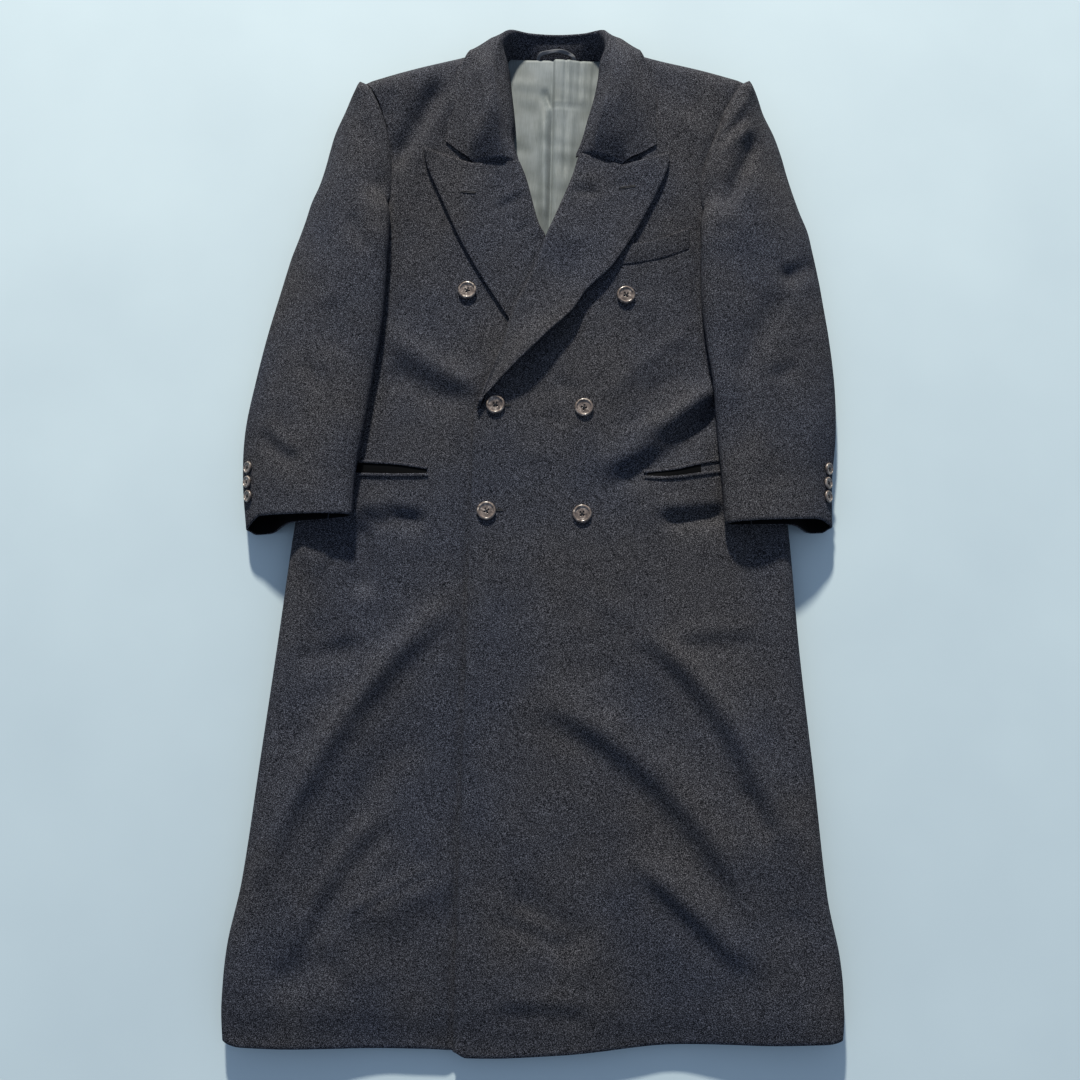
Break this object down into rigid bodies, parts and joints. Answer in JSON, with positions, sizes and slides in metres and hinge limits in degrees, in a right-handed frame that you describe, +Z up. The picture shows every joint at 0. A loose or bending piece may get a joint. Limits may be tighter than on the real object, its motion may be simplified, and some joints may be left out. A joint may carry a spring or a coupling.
{
  "type": "cashmere overcoat laid flat",
  "caption": "Long double-breasted overcoat with peak lapels, fastened and laid flat face up, its sleeves at its sides",
  "frame": {"origin": "middle of the coat's box, on the surface it lies on", "axes": "+Y runs up the back to the collar, +X to the wearer's left sleeve, +Z up from the surface"},
  "size_m": [0.74, 1.295, 0.0713],
  "materials": {
    "melton": "napped cashmere melton, near black",
    "lining_satin": "grey-green viscose satin lining",
    "loop_strap": "grey woven strap",
    "horn": "polished dark horn look"
  },
  "bodies": {
    "root": {"back": "melton", "back_lining": "lining_satin", "hanger_loop": "loop_strap", "right_front": "melton", "left_front": "melton", "right_top_sleeve": "melton", "left_top_sleeve": "melton", "right_under_sleeve": "melton", "left_under_sleeve": "melton", "right_lapel": "melton", "left_lapel": "melton", "collar": "melton", "breast_welt": "melton", "right_pocket_upper_jet": "melton", "right_pocket_lower_jet": "melton", "left_pocket_upper_jet": "melton", "left_pocket_lower_jet": "melton", "button_top_right": "horn", "button_top_left": "horn", "button_middle_right": "horn", "button_middle_left": "horn", "button_bottom_right": "horn", "button_bottom_left": "horn", "right_cuff_button_1": "horn", "right_cuff_button_2": "horn", "right_cuff_button_3": "horn", "left_cuff_button_1": "horn", "left_cuff_button_2": "horn", "left_cuff_button_3": "horn"}
  },
  "joints": []
}
